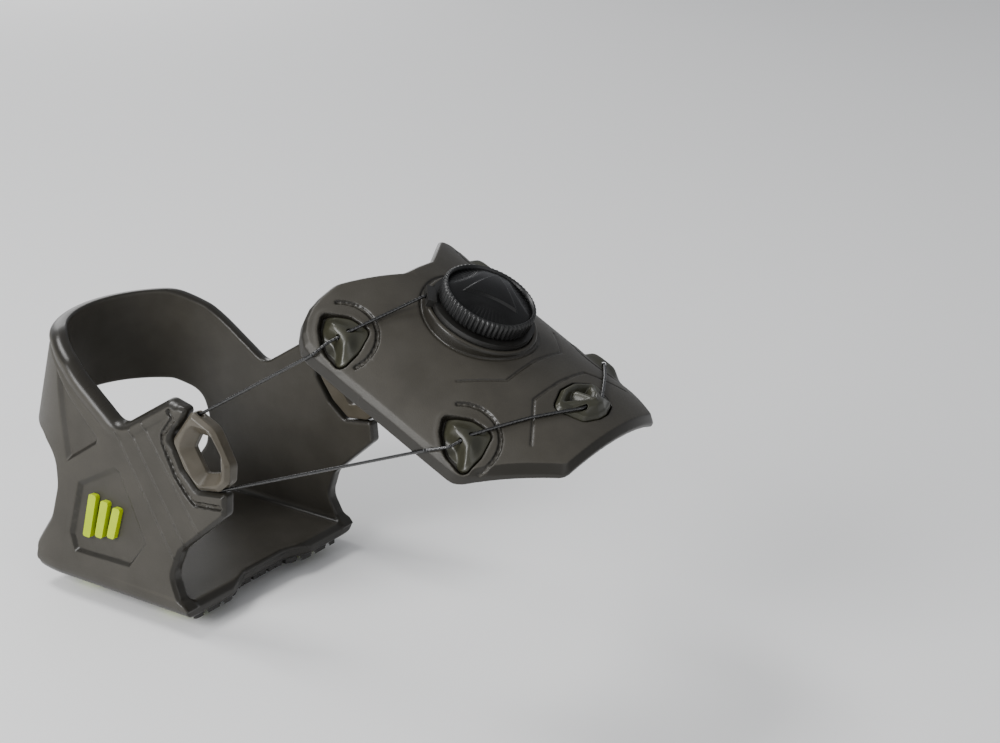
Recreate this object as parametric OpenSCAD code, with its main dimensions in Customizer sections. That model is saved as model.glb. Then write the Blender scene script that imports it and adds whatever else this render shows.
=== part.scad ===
// Heel ice cleat with a dial closure.
// A rubber cup grips the boot heel, five carbide studs bite the ice, and a thin steel lace runs
// from each side of the cup to an instep shield, where a ratchet dial winds it in.
// Units are millimetres. +X points to the toe, +Y to the wearer's left, +Z up.
// The origin is the middle of the heel seat, where the boot heel rests.

/* [Heel cup] */
// Half the cup's outer width at the heel seat
cup_half_w = 42; // [36:0.5:50]
// Length of the heel seat at its wide ends
seat_len = 72; // [60:1:90]
// Length of the heel seat at its waist
waist_len = 61.4; // [50:0.2:80]
// Thickness of the rubber wall
wall = 5; // [3:0.1:7]
// Thickness of the heel seat
seat_t = 5; // [4:0.1:8]
// Inward lean of the side walls, degrees
lean = 5; // [0:0.5:10]
// Forward lean of the back strap, degrees
back_lean = 9; // [0:0.5:20]
// Height of the back strap's top edge
strap_top = 75; // [60:0.5:90]

/* [Studs and tread] */
// Stud spacing along the foot
stud_dx = 36.5; // [30:0.5:50]
// Stud spacing across the foot
stud_dy = 54; // [40:0.5:60]
// Diameter of a stud's coloured collar
collar_d = 13.5; // [10:0.1:18]
// How far a carbide tip stands below the seat's underside
tip_drop = 4.8; // [3:0.1:8]
// Height of the rubber lugs
lug_h = 2; // [1:0.1:4]
// Distance between the centres of two lugs
lug_pitch = 7.6; // [6:0.1:12]

/* [Instep shield] */
// Length of the shield along the foot
shield_len = 88; // [70:1:110]
// Half width of the shield
shield_half_w = 42.2; // [35:0.1:50]
// Radius of the shield's arch across the foot
arch_r = 60; // [45:1:90]
// Thickness of the shield
shield_t = 4.2; // [3:0.1:6]
// Slope of the shield down to the toe, degrees
shield_slope = 27; // [15:1:40]

/* [Dial and lace] */
// Diameter of the knob over its ribs
knob_d = 29; // [24:0.5:36]
// Number of ribs round the knob
knob_ribs = 60; // [30:1:90]
// Diameter of the spool's drum
drum_d = 10; // [6:0.5:14]
// Diameter of the steel lace
lace_d = 1; // [0.6:0.1:1.6]

/* [Hidden] */
$fn = 96;
eps = 0.01;

// Materials' colours
taupe = [0.30, 0.29, 0.26];
soft_black = [0.06, 0.06, 0.06];
lime = [0.70, 0.80, 0.08];
steel = [0.72, 0.72, 0.73];

// ---- Outlines ----------------------------------------------------------------------------------

// A closed outline with rounded corners. Each point is [x, y, corner radius].
function unit(v) = v / norm(v);
function corner(a, b, c, n) =
  let (r = b[2], p = [b[0], b[1]],
       u = unit([a[0], a[1]] - p), w = unit([c[0], c[1]] - p),
       half = acos(max(-1, min(1, u * w))) / 2,
       reach = r / tan(half),
       centre = p + unit(u + w) * (r / sin(half)),
       from = p + u * reach - centre, to = p + w * reach - centre,
       a0 = atan2(from[1], from[0]), turn = atan2(to[1], to[0]) - a0,
       sweep = turn > 180 ? turn - 360 : turn < -180 ? turn + 360 : turn)
  r < eps ? [p] : [for (i = [0:n]) centre + r * [cos(a0 + sweep * i / n), sin(a0 + sweep * i / n)]];
function rounded(pts, n = 4) = let (m = len(pts))
  [for (i = [0:m - 1]) each corner(pts[(i + m - 1) % m], pts[i], pts[(i + 1) % m], n)];
function mirrored_y(pts) = concat(pts,
  [for (i = [len(pts) - 1:-1:0]) [pts[i][0], -pts[i][1], pts[i][2]]]);

// ---- Heel cup ----------------------------------------------------------------------------------

// The back strap's axis passes through this point and leans forward
strap_x = -14;
strap_z = 45;
strap_r = cup_half_w - strap_z * tan(lean);
edge_r = 6;               // outer radius between wall and seat
half_seat = seat_len / 2;
front_seat = half_seat - 2.5;
half_waist = waist_len / 2;

// Side view of the cup: an X-shaped panel whose rear arm becomes the back strap
cup_side = [[-28, -seat_t - 3, 0], [-half_seat + 2, -1.5, 3], [-34.2, 5, 3], [-26.6, 15.5, 10],
  [-23.8, 27, 10], [-25.2, 36, 8], [-34, 40.5, 6], [-62, 42, 0], [-62, strap_top, 0],
  [-30, strap_top, 12], [-18.8, 69.5, 12], [4, 52.9, 5], [24.6, 66.2, 3], [32.6, 64.4, 1.5],
  [31.2, 61.4, 1], [26, 54.3, 3], [31, 45, 3], [37, 39.6, 2], [48.4, 41.2, 1.2],
  [48.5, 34, 2], [30.6, 18.2, 5], [27, 9, 6], [30.4, 1.5, 3], [front_seat, -2, 0],
  [front_seat, -seat_t - 3, 0]];

// Plan of the seat: wide at both ends, narrow in the middle, its outer rear corners cut off
seat_plan = mirrored_y([[half_waist - 1, -10, 4], [front_seat, -19, 4],
  [front_seat, -cup_half_w - 2, 0], [-half_seat + 6, -cup_half_w - 2, 0],
  [-half_seat, -cup_half_w + 6, 3], [-half_seat, -19, 4],
  [-half_waist, -10, 4]]);

module along_y() rotate([90, 0, 0]) linear_extrude(height = 140, center = true) children();
module along_x(x0, x1) translate([x0, 0, 0]) rotate([90, 0, 90]) linear_extrude(height = x1 - x0)
  children();

// Section of one leaning side wall, drawn for the right side
module wall_section(z0, z1) polygon([
  [-cup_half_w + z0 * tan(lean), z0], [-cup_half_w + z1 * tan(lean), z1],
  [-cup_half_w + z1 * tan(lean) + wall, z1], [-cup_half_w + z0 * tan(lean) + wall, z0]]);
module both_sides() { children(); mirror([0, 1, 0]) children(); }

// Local frame of the back strap
module at_strap() translate([strap_x, 0, strap_z]) rotate([0, back_lean, 0]) children();
// Everything in front of the strap's axis
module ahead_of_strap() at_strap() translate([0, -70, -70]) cube([100, 140, 140]);

module cup_walls() {
  intersection() {
    both_sides() along_x(-40, 60) wall_section(0, strap_top);
    ahead_of_strap();
  }
  intersection() {
    at_strap() rotate_extrude(angle = 180, start = 90) polygon([for (q = [[0, -60], [0, 45],
      [-wall, 45], [-wall, -60]]) [strap_r - q[1] * tan(lean) + q[0], q[1]]]);
    translate([-70, -70, 0]) cube([100, 140, 100]);
  }
}
// The strap's curve carried down past the seat
module rear_round() {
  x = strap_x - strap_z * tan(back_lean);
  translate([x, 0, -20]) cylinder(r = cup_half_w - 0.05, h = 40);
  translate([x, -60, -20]) cube([100, 120, 40]);
}

// Section of the seat with its rounded corners
module seat_section() difference() {
  w = cup_half_w - tan(lean);
  union() {
    translate([-w, -seat_t + edge_r]) square([2 * w, 2]);
    translate([-w + edge_r, -seat_t]) square([2 * (w - edge_r), seat_t + 1]);
    for (s = [-1, 1]) translate([s * (w - edge_r), -seat_t + edge_r]) circle(r = edge_r);
  }
  in_w = w - wall;
  in_r = 2.5;
  translate([-in_w, in_r]) square([2 * in_w, 12]);
  translate([-in_w + in_r, 0]) square([2 * (in_w - in_r), 12]);
  for (s = [-1, 1]) translate([s * (in_w - in_r), in_r]) circle(r = in_r);
}

// Local frame on the right wall's outer face: x forward, y up the wall, z outward
module on_wall() translate([0, -cup_half_w, 0]) rotate([90 - lean, 0, 0]) children();
// A recess of the given depth in the outer face
module sunk(depth) translate([0, 0, -depth]) linear_extrude(height = depth + 3) children();

// Pocket for the badge, and a slanting recess in the arm that leads to the strap
badge_field = [[1.5, 40, 2], [-12.8, 32.5, 2.5], [-17.6, 12.8, 2], [-14.6, 7.2, 2],
  [8.8, 7.2, 2.5], [16.8, 17.5, 2.5], [4.2, 38.8, 1.5]];
arm_field = [[-24.5, 64, 1.5], [-6, 46.5, 1.5], [-18.5, 36.5, 1.5]];
// Slanting mould lines, each from its top to its bottom
mould_lines = [[[3.1, 51.5], [28.0, 15.5]], [[9.0, 53.6], [32.6, 20.4]],
  [[14.2, 57.0], [38.2, 26.2]]];
module stroke(p, q, w) {
  d = q - p;
  translate(p) rotate(atan2(d[1], d[0])) translate([0, -w / 2]) square([norm(d), w]);
}

module wall_details() on_wall() {
  sunk(1.1) polygon(rounded(badge_field));
  sunk(0.9) polygon(rounded(arm_field));
  for (m = mould_lines) sunk(0.4) stroke(m[0], m[1], 0.5);
  // Groove that follows the notch behind the lace guide
  notch_line = [[27.2, 63.2], [23.0, 55.2], [28.8, 42.6], [36.6, 36.2], [46.4, 37.6]];
  for (i = [0:len(notch_line) - 2]) sunk(0.9) stroke(notch_line[i], notch_line[i + 1], 1.3);
}

// Outline of the tread on the seat's underside
tread_plan = mirrored_y([[half_waist - 3.5, -9.5, 2], [front_seat - 2.5, -18.5, 2],
  [front_seat - 2.5, -35.3, 1.5], [-half_seat + 10, -35.3, 1.5], [-half_seat + 10, -19, 2],
  [-half_waist + 5, -10, 2]]);
tread_in = 1.5;           // how deep the tread sits in the seat
stud_spots = [[0, 0], for (sx = [-1, 1], sy = [-1, 1]) [sx * stud_dx / 2, sy * stud_dy / 2]];
module at_studs() for (p = stud_spots) translate([p[0], p[1], -seat_t]) children();

module heel_cup() color(taupe) difference() {
  union() {
    intersection() {
      cup_walls();
      along_y() polygon(rounded(cup_side));
    }
    intersection() {
      along_x(-half_seat, half_seat) intersection() {
        seat_section();
        translate([-60, -20]) square([120, 21]);
      }
      translate([0, 0, -20]) linear_extrude(height = 40) polygon(rounded(seat_plan));
      along_y() polygon(rounded(cup_side));
      rear_round();
    }
  }
  both_sides() {
    wall_details();
    on_wall() guide_tongue(1.3);
    on_wall() lace_channel(0.35);
  }
  translate([0, 0, -seat_t - 5]) linear_extrude(height = 5 + tread_in) polygon(rounded(tread_plan));
  at_studs() socket_shape(0.02);
}

// ---- Tread and studs ---------------------------------------------------------------------------

// One lug: a hexagon cut into three rhombs by a Y groove
module hexagon(across) circle(r = across / sqrt(3), $fn = 6);
module lug_grid() {
  row = lug_pitch * sqrt(3) / 2;
  for (i = [-5:5], j = [-5:5])
    translate([i * row, (j + (i % 2 == 0 ? 0 : 0.5)) * lug_pitch]) children();
}
module lug_field() difference() {
  polygon(rounded(tread_plan));
  for (p = stud_spots) translate(p) hexagon(18.3 + 2);
}

module tread() color(soft_black) difference() {
  union() {
    translate([0, 0, -seat_t - 0.2]) linear_extrude(height = tread_in + 0.18)
      polygon(rounded([for (p = tread_plan) [p[0] * 0.998, p[1] * 0.998, p[2]]]));
    // Lower half of each lug whole, upper half split by the Y groove
    translate([0, 0, -seat_t - lug_h + 0.7]) linear_extrude(height = lug_h - 0.7) intersection() {
      lug_grid() hexagon(lug_pitch - 1.2);
      lug_field();
    }
    translate([0, 0, -seat_t - lug_h]) linear_extrude(height = 0.7 + eps) intersection() {
      lug_grid() difference() {
        hexagon(lug_pitch - 1.6);
        for (k = [0:2]) rotate(120 * k) translate([0, -0.25]) square([lug_pitch, 0.5]);
      }
      lug_field();
    }
    for (p = stud_spots) translate([p[0], p[1], -seat_t - lug_h]) linear_extrude(height = lug_h)
      intersection() {
        hexagon(18.3);
        translate(-p) polygon(rounded(tread_plan));
      }
  }
  at_studs() {
    translate([0, 0, -lug_h - 1]) cylinder(d = collar_d + 1.1, h = lug_h + 1.6);
    translate([0, 0, -1]) cylinder(r = 3.3, h = 4);
  }
}

// A stud screws into a flanged socket moulded into the seat
module socket_shape(gap) {
  translate([0, 0, 2.4]) cylinder(r = 6.5 + gap, h = 1.2);
  translate([0, 0, tread_in - 2]) cylinder(r = 3.2 + gap, h = 3);
}
module stud_sockets() color(steel) at_studs() difference() {
  union() {
    translate([0, 0, 2.4]) cylinder(r = 6.4, h = 1.1);
    translate([0, 0, 0.7]) cylinder(r = 3.1, h = 2);
  }
  cylinder(r = 1.8, h = 3.1);
}
module stud_collars() color(lime) at_studs() rotate_extrude() difference() {
  polygon([[2.6, 0.55], [collar_d / 2, 0.55], [collar_d / 2, -lug_h - 0.1],
    [collar_d / 2 - 0.9, -lug_h - 0.9], [3.4, -lug_h - 1.2], [2.6, -lug_h - 0.7]]);
}
module stud_cores() color(steel) at_studs() rotate_extrude() polygon([[0, 3], [1.72, 3], [1.72, 0.62],
  [2.5, 0.62], [2.5, -lug_h - 1.5], [2.1, -lug_h - 1.9], [1.15, -lug_h - 1.9], [1.15, -lug_h],
  [0, -lug_h]]);
module stud_tips() color(steel) at_studs() rotate_extrude() polygon([[0, -lug_h - 0.02],
  [1.1, -lug_h - 0.02], [1.1, -tip_drop + 0.5], [0.5, -tip_drop], [0, -tip_drop]]);

// ---- Lace guide in the cup's front notch -------------------------------------------------------

turn_c = [41.5, 53];      // centre the lace turns about, on the wall
turn_r = 12;              // radius of the turn
turn_from = 121.5;        // angles where the lace enters and leaves
turn_to = 292;
lace_in = -2;             // the lace's depth behind the wall's outer face
guide_t = 5;
guide_outline = [[32.6, 61.8, 1], [34.9, 65.2, 1.5], [43.8, 61.4, 6], [50.4, 51, 4], [50.2, 45.4, 2],
  [46.2, 41.8, 2], [38.2, 40.7, 2], [32.2, 46, 3], [27.3, 54.3, 2.5]];
// Tongue behind the guide that is moulded into the wall
tongue_plan = [[33, 58.5, 1], [30.5, 62.5, 1], [24, 54.3, 2], [29.6, 43, 2], [37, 37, 1], [40.5, 43, 1],
  [35, 47.5, 1], [30.5, 54.3, 1]];
module guide_tongue(h) translate([0, 0, -guide_t + 0.9]) linear_extrude(height = h)
  polygon(rounded(tongue_plan));
guide_window = [[36.4, 58.2, 1], [41, 58, 1.5], [45, 52.8, 1.5], [45.4, 46.9, 1], [39.2, 45.4, 1.5],
  [33.8, 53, 1.5]];

// Walk along the turn: local point at an angle, in the wall's frame
function turn_pt(a) = [turn_c[0] + turn_r * cos(a), turn_c[1] + turn_r * sin(a), lace_in];
module turn_tube(r) translate([turn_c[0], turn_c[1], lace_in])
  rotate_extrude(angle = turn_to - turn_from, start = turn_from) translate([turn_r, 0]) circle(r = r);

module lace_guide_right() color(taupe * 1.2) on_wall() difference() {
  union() {
    translate([0, 0, -guide_t + 0.8]) linear_extrude(height = guide_t - 0.2)
      polygon(rounded(guide_outline));
    translate([0, 0, 0.15]) guide_tongue(1.1);
    translate([0, 0, 0.5]) linear_extrude(height = 0.7) polygon(rounded([for (p = guide_outline)
      [turn_c[0] - 1 + (p[0] - turn_c[0] + 1) * 0.93, turn_c[1] + (p[1] - turn_c[1]) * 0.93, p[2]]]));
  }
  translate([0, 0, -6]) linear_extrude(height = 8) polygon(rounded(guide_window));
  lace_channel(0.3);
}
// The lace's channel: a turn that leaves each end along a straight bore
module lace_channel(gap) {
  turn_tube(lace_d / 2 + gap);
  for (e = [[turn_from, 90], [turn_to, -90]]) translate(turn_pt(e[0]))
    rotate([e[1], 0, e[0]]) translate([0, 0, -0.4])
      cylinder(r = lace_d / 2 + gap + 0.1, h = 12, $fn = 24);
}
module lace_guide_left() mirror([0, 1, 0]) lace_guide_right();
module guide_lace_right() color(steel) on_wall() turn_tube(lace_d / 2);
module guide_lace_left() mirror([0, 1, 0]) guide_lace_right();

// ---- Badge: three slanting bars ----------------------------------------------------------------

module badge_right() color(lime) on_wall() translate([-2.6, 21, -1.08]) {
  for (i = [-1:1]) linear_extrude(height = 1.9)
    polygon(rounded([for (q = [[-2.6, -6.4], [0.6, -6.4], [3.4, 6.4], [0.2, 6.4]])
      [q[0] + i * 5.2, q[1] * (1 - 0.16 * i), 0.8]]));
}
module badge_left() mirror([0, 1, 0]) badge_right();

// ---- Instep shield -----------------------------------------------------------------------------

shield_pos = [116.7, 0, 101.4];   // top of the arch, on the dial's axis
rear_s = -34.6;
front_s = rear_s + shield_len;
module on_shield() translate(shield_pos) rotate([0, shield_slope, 0]) children();
// Local frame on the arch at distance s along it, turned t degrees to the right
module on_arch(s, t) translate([s, 0, -arch_r]) rotate([t, 0, 0]) translate([0, 0, arch_r]) children();

shield_plan = mirrored_y([[rear_s + 9.4, -6.5, 4], [rear_s + 0.2, -25, 6], [rear_s, -shield_half_w, 11],
  [32, -shield_half_w + 1.2, 7], [front_s, -22.5, 4]]);
pocket_plan = [[-9.6, 2.8, 1.6], [-2.6, 7.4, 6], [4.8, 8.2, 2.4], [7.3, 0.6, 8], [7.3, -7.2, 2.2],
  [-1.2, -5.8, 8], [-6.8, -1.6, 5]];
guide_plan = mirrored_y([[33.5, -3, 3], [37.1, -11.4, 2.4], [46, -7.4, 2.6], [47.8, -2, 3]]);
pocket_tilt = 37;         // how far round the arch the side pockets sit
rear_pocket_s = -20.5;
front_pocket_s = 27.2;
pocket_depth = 2.6;
platform_r = 18;          // flat platform under the dial
collar_r = 15.9;
housing_r = 13;

module shell(r0, r1) translate([rear_s - 5, 0, -arch_r]) rotate([0, 90, 0]) difference() {
  cylinder(r = r1, h = shield_len + 10, $fn = 180);
  translate([0, 0, -1]) cylinder(r = r0, h = shield_len + 12, $fn = 180);
}
module pocket_cut() translate([0, 0, -pocket_depth]) linear_extrude(height = 12)
  polygon(rounded(pocket_plan));
// Curved groove beside a pocket
module arc_groove() translate([-0.8, 0.7, 0]) rotate_extrude(angle = 162, start = -20)
  translate([11.1, 0]) square([1, 3], center = true);

module shield() color(taupe) on_shield() difference() {
  union() {
    intersection() {
      shell(arch_r - shield_t, arch_r);
      translate([0, 0, -45]) linear_extrude(height = 60) polygon(rounded(shield_plan));
    }
    translate([0, 0, -4]) cylinder(r = platform_r, h = 4.8);
  }
  for (m = [0, 1], s = [rear_pocket_s, front_pocket_s]) mirror([0, m, 0]) on_arch(s, pocket_tilt) {
    pocket_cut();
    arc_groove();
  }
  // Notches where the lace crosses the rim
  for (m = [0, 1]) mirror([0, m, 0]) {
    rod(rear_rim, rear_mouth_out, lace_d / 2 + 0.3, 24);
    rod(front_rim, front_mouth_out, lace_d / 2 + 0.3, 24);
  }
  translate([0, 0, -pocket_depth]) linear_extrude(height = 12) polygon(rounded(guide_plan));
  // Seat for the dial's collar and bore for its housing
  translate([0, 0, -2.2]) cylinder(r = collar_r + 0.1, h = 10);
  translate([0, 0, -12]) cylinder(r = housing_r + 0.1, h = 20);
}

// ---- Lace pockets on the shield ----------------------------------------------------------------

lace_h = 1.2;             // the lace's height above the arch in a pocket
saddle_top = 2.6;
// Lace bore through a pocket, from its outer mouth to its inner mouth, in the pocket's frame
mouth_out = [-1.2, -3.4, lace_h];
mouth_in = [1, 3.6, lace_h];
module rod(p, q, r, n = 12) {
  d = q - p;
  translate(p) rotate([0, acos(d[2] / norm(d)), atan2(d[1], d[0])])
    cylinder(r = r, h = norm(d), $fn = n);
}

module pocket_body() difference() {
  union() {
    translate([0, 0, -pocket_depth + 0.02]) linear_extrude(height = 1.2)
      polygon(rounded([for (p = pocket_plan) [p[0] * 0.98, p[1] * 0.98, p[2]]]));
    // Saddle the lace passes under
    intersection() {
      translate([0, 0, -pocket_depth + 0.02]) linear_extrude(height = 8)
        polygon(rounded([for (p = pocket_plan) [p[0] * 0.98, p[1] * 0.98, p[2]]]));
      translate([0.8, 0.4, -9]) rotate([90, 0, -22])
        cylinder(r = 9 + saddle_top, h = 5, center = true);
      translate([0.8, 0.4, saddle_top - 2.7]) rotate([0, 90, -22])
        cylinder(r = 2.7, h = 30, center = true);
    }
  }
  rod(mouth_out - [1.2, 6, 0], mouth_in + [1.2, 6, 0], lace_d / 2 + 0.3, 24);
}
module side_pocket(s) color(taupe * 0.7) on_shield() on_arch(s, pocket_tilt) pocket_body();
module rear_pocket_right() side_pocket(rear_pocket_s);
module rear_pocket_left() mirror([0, 1, 0]) rear_pocket_right();
module front_pocket_right() side_pocket(front_pocket_s);
module front_pocket_left() mirror([0, 1, 0]) front_pocket_right();

// The front guide turns the lace across the foot
guide_s = 43;
guide_half = 4.6;
guide_mid = 40.5;
module front_guide() color(taupe * 0.7) on_shield() difference() {
  union() {
    translate([0, 0, -pocket_depth + 0.02]) linear_extrude(height = 1.2)
      polygon(rounded([for (p = guide_plan) [guide_mid + (p[0] - guide_mid) * 0.985, p[1] * 0.985, p[2]]]));
    intersection() {
      translate([0, 0, -pocket_depth + 0.02]) linear_extrude(height = 8)
        polygon(rounded([for (p = guide_plan) [guide_mid + (p[0] - guide_mid) * 0.985, p[1] * 0.985, p[2]]]));
      translate([guide_s, 0, -0.8]) rotate([90, 0, 0]) cylinder(r = 3.6, h = 30, center = true);
      translate([guide_s, 0, -14]) rotate([0, 90, 0]) cylinder(r = 17.2, h = 20, center = true);
    }
  }
  for (side = [0, 1]) mirror([0, side, 0]) {
    rod([guide_s, 0.6, 1.5], guide_mouth + (guide_mouth - [guide_s, 0, 1.5]) * 0.15,
      lace_d / 2 + 0.3, 24);
    rod(guide_mouth, front_run(0.4) + [0, 0, 0.5], lace_d / 2 + 0.4, 24);
  }
}
guide_mouth = [guide_s, -guide_half, 1.3];
// The lace over the arch between a front pocket and the guide, f from 0 at the guide
function front_run(f) = let (
    a = arch_pt(front_pocket_s, pocket_tilt, mouth_in),
    q = guide_mouth + (a - guide_mouth) * f)
  [q[0], q[1], sqrt(arch_r * arch_r - q[1] * q[1]) - arch_r + 0.72];

// ---- Lace --------------------------------------------------------------------------------------

// Turn a pocket's local point into the shield's frame
function arch_pt(s, t, p) = [s + p[0], p[1] * cos(t) - (arch_r + p[2]) * sin(t),
  p[1] * sin(t) + (arch_r + p[2]) * cos(t) - arch_r];
// Turn a shield point into the part's frame, and a wall point likewise
function shield_pt(p) = shield_pos + [p[0] * cos(shield_slope) + p[2] * sin(shield_slope), p[1],
  -p[0] * sin(shield_slope) + p[2] * cos(shield_slope)];
function wall_pt(p) = [p[0], -cup_half_w + p[1] * sin(lean) - p[2] * cos(lean),
  p[1] * cos(lean) + p[2] * sin(lean)];

port = [-13, -12.35, 1.9];        // where the lace enters the dial, on the right side
// Where the lace bends over the shield's rim
rear_rim = [-22.6, -shield_half_w - 0.8, -17];
front_rim = [21.3, -shield_half_w - 0.2, -17.2];
rear_mouth_out = arch_pt(rear_pocket_s, pocket_tilt, mouth_out);
front_mouth_out = arch_pt(front_pocket_s, pocket_tilt, mouth_out);
// The lace leaves its coil on the drum along a tangent, and turns up to the port in the housing.
// Both ends unwind the same way, so the two runs differ: side is 1 on the right, -1 on the left.
coil_r = drum_d / 2 + lace_d / 2 + 0.03;
function coil_z(side) = -0.8 + side * 0.53;
function off_coil(side, along) = let (a = atan2(side * port[1], port[0])
    + acos(coil_r / norm([port[0], port[1]])))
  [coil_r * cos(a) + along * sin(a), coil_r * sin(a) - along * cos(a), coil_z(side)];
function port_pt(side) = [port[0], side * port[1], port[2]];
housing_bend = 8.8;       // how far from the coil the lace turns up

// A path with each corner turned into a short curve
function eased(path, reach = 0.8) = [path[0],
  for (i = [1:len(path) - 2]) let (p = path[i], u = unit(path[i - 1] - p), v = unit(path[i + 1] - p))
    for (t = [0, 0.5, 1]) (1 - t) * (1 - t) * (p + u * reach) + 2 * t * (1 - t) * p + t * t * (p + v * reach),
  path[len(path) - 1]];
// A round cord of radius r along a path, drawn with flats
module cord(path, r, flats = 12) {
  last = len(path) - 1;
  rings = [for (i = [0:last]) let (t = unit(path[min(i + 1, last)] - path[max(i - 1, 0)]),
      u = unit(cross(t, [0.31, 0.2, 0.93])), v = cross(u, t))
    for (k = [0:flats - 1]) path[i] + r * (cos(k * 360 / flats) * u + sin(k * 360 / flats) * v)];
  sides = [for (i = [0:last - 1], k = [0:flats - 1]) let (a = i * flats + k,
      b = i * flats + (k + 1) % flats) [[a, a + flats, b], [b, a + flats, b + flats]]];
  polyhedron(rings, concat([for (s = sides) s[0]], [for (s = sides) s[1]],
    [[for (k = [0:flats - 1]) k]], [[for (k = [flats - 1:-1:0]) last * flats + k]]));
}
function flip(path) = [for (i = [len(path) - 1:-1:0]) [path[i][0], -path[i][1], path[i][2]]];
rear_run = [arch_pt(rear_pocket_s, pocket_tilt, mouth_in), rear_mouth_out, rear_rim];
front_half = [front_rim, front_mouth_out, arch_pt(front_pocket_s, pocket_tilt, mouth_in),
  front_run(0.75), front_run(0.5), front_run(0.25), guide_mouth];
module shield_lace() color(steel) on_shield() {
  for (side = [1, -1]) cord(eased([off_coil(side, 4.2), off_coil(side, housing_bend), port_pt(side),
    for (p = rear_run) [p[0], side * p[1], p[2]]]), lace_d / 2);
  cord(eased(concat(front_half, [[guide_s, 0, 1.5]], flip(front_half))), lace_d / 2);
}

// Free spans between cup and shield, a little short at both ends
module span(p, q) {
  u = unit(q - p);
  rod(p + u * 0.08, q - u * 0.7, lace_d / 2, 16);
}
module upper_lace_right() color(steel) span(wall_pt(turn_pt(turn_from)), shield_pt(rear_rim));
module lower_lace_right() color(steel) span(wall_pt(turn_pt(turn_to)), shield_pt(front_rim));
module upper_lace_left() mirror([0, 1, 0]) upper_lace_right();
module lower_lace_left() mirror([0, 1, 0]) lower_lace_right();

// ---- Dial --------------------------------------------------------------------------------------

post_r = 2;
shank_r = 1.25;
run_gap = 0.06;           // running clearance round the post and the screw
cavity_r = 10;
teeth_r = 12.2;
grip_z0 = 2.9;
grip_z1 = 8.1;
cap_top = 11;
knob_r = knob_d / 2;

module dial_base() color(soft_black) on_shield() difference() {
  union() {
    translate([0, 0, -4]) cylinder(r = housing_r, h = 5);
    translate([0, 0, -2.2]) cylinder(r = collar_r, h = 4.6);
    // Blocks that hold the lace ports
    for (m = [0, 1]) mirror([0, m, 0]) rotate(-136.5) translate([15.1, -3.6, 0.82]) cube([2.7, 7.2, 2.4]);
  }
  difference() {
    translate([0, 0, -3]) cylinder(r = cavity_r, h = 10);
    translate([0, 0, -4]) cylinder(r = post_r, h = 5.2);
  }
  // Ratchet ring: 40 teeth round the pawls
  translate([0, 0, 1.2]) linear_extrude(height = 3) polygon([for (i = [0:39], k = [0, 1])
    (k == 0 ? teeth_r : teeth_r + 0.6) * [cos(i * 9 + k * 1.2), sin(i * 9 + k * 1.2)]]);
  translate([0, 0, -5]) cylinder(r = shank_r + 0.02, h = 10);
  for (side = [1, -1]) {
    bend = off_coil(side, housing_bend);
    rod(off_coil(side, 6), bend + (bend - off_coil(side, 6)) * 0.2, lace_d / 2 + 0.25, 24);
    rod(bend, bend + (port_pt(side) - bend) * 1.3, lace_d / 2 + 0.35, 24);
  }
}

module axle_screw() color(steel) on_shield() {
  translate([0, 0, -3.9]) cylinder(r = shank_r, h = 11.9);
  translate([0, 0, 7.7]) cylinder(r = 3, h = 1.2);
}

// Face teeth by which the knob drives the spool
module face_teeth(n, w0, z, h) for (i = [0:n - 1]) rotate(i * 360 / n + w0)
  translate([6.6, -0.7, z]) cube([2, 1.4, h]);

module spool() color(soft_black) on_shield() difference() {
  union() {
    translate([0, 0, -2.8]) cylinder(r = 9, h = 0.8);
    translate([0, 0, -2.4]) cylinder(d = drum_d, h = 3.2);
    translate([0, 0, 0.6]) cylinder(r = 9, h = 0.7);
    face_teeth(12, 0, 1.2, 0.7);
  }
  translate([0, 0, -4]) cylinder(r = post_r + run_gap, h = 8);
}
module wound_lace() color(steel) on_shield() for (side = [-1, 1])
  translate([0, 0, coil_z(side)]) rotate_extrude() translate([coil_r, 0]) circle(d = lace_d);

module knob_core() color(soft_black) on_shield() difference() {
  union() {
    translate([0, 0, grip_z0]) cylinder(r = 13.2, h = 1.7);
    translate([0, 0, 2]) difference() {
      cylinder(r = 8.6, h = 1);
      translate([0, 0, -1]) cylinder(r = 6.6, h = 3);
    }
    face_teeth(12, 15, 1.4, 0.7);
  }
  cylinder(r = shank_r + run_gap, h = 8);
}
module pawl_ring() color(soft_black) on_shield() translate([0, 0, 1.6]) linear_extrude(height = 1.3 - eps)
  difference() {
    circle(r = 11.2);
    circle(r = 9.4);
    for (i = [0:2]) rotate(i * 120) translate([9, -0.4]) square([4, 0.8]);
  }
module lift_clip() color(steel) on_shield() translate([0, 0, 4.65]) difference() {
  cylinder(r = 3.2, h = 0.5);
  translate([0, 0, -1]) cylinder(r = shank_r + run_gap, h = 3);
}

module knob_grip() color(soft_black) on_shield() difference() {
  translate([0, 0, grip_z0]) linear_extrude(height = grip_z1 - grip_z0)
    polygon([for (i = [0:knob_ribs - 1], k = [0:3]) let (a = (i + k / 4) * 360 / knob_ribs)
      (k < 2 ? knob_r : knob_r - 0.5) * [cos(a), sin(a)]]);
  cylinder(r = 13.25, h = 20);
}

module knob_cap() color(soft_black) on_shield() difference() {
  intersection() {
    translate([0, 0, grip_z0 + 1.72]) cylinder(r = 13.2, h = 10);
    translate([0, 0, cap_top - 29.6]) sphere(r = 29.6);
  }
  // Three scoops leave a raised triangle to turn by
  for (i = [0:2]) rotate(60 + i * 120) translate([15.5, 0, 18.3]) rotate([90, 0, 0])
    cylinder(r = 12, h = 40, center = true);
  cylinder(r = 3.8, h = 9.6);
}

// ---- Nodes -------------------------------------------------------------------------------------

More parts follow.
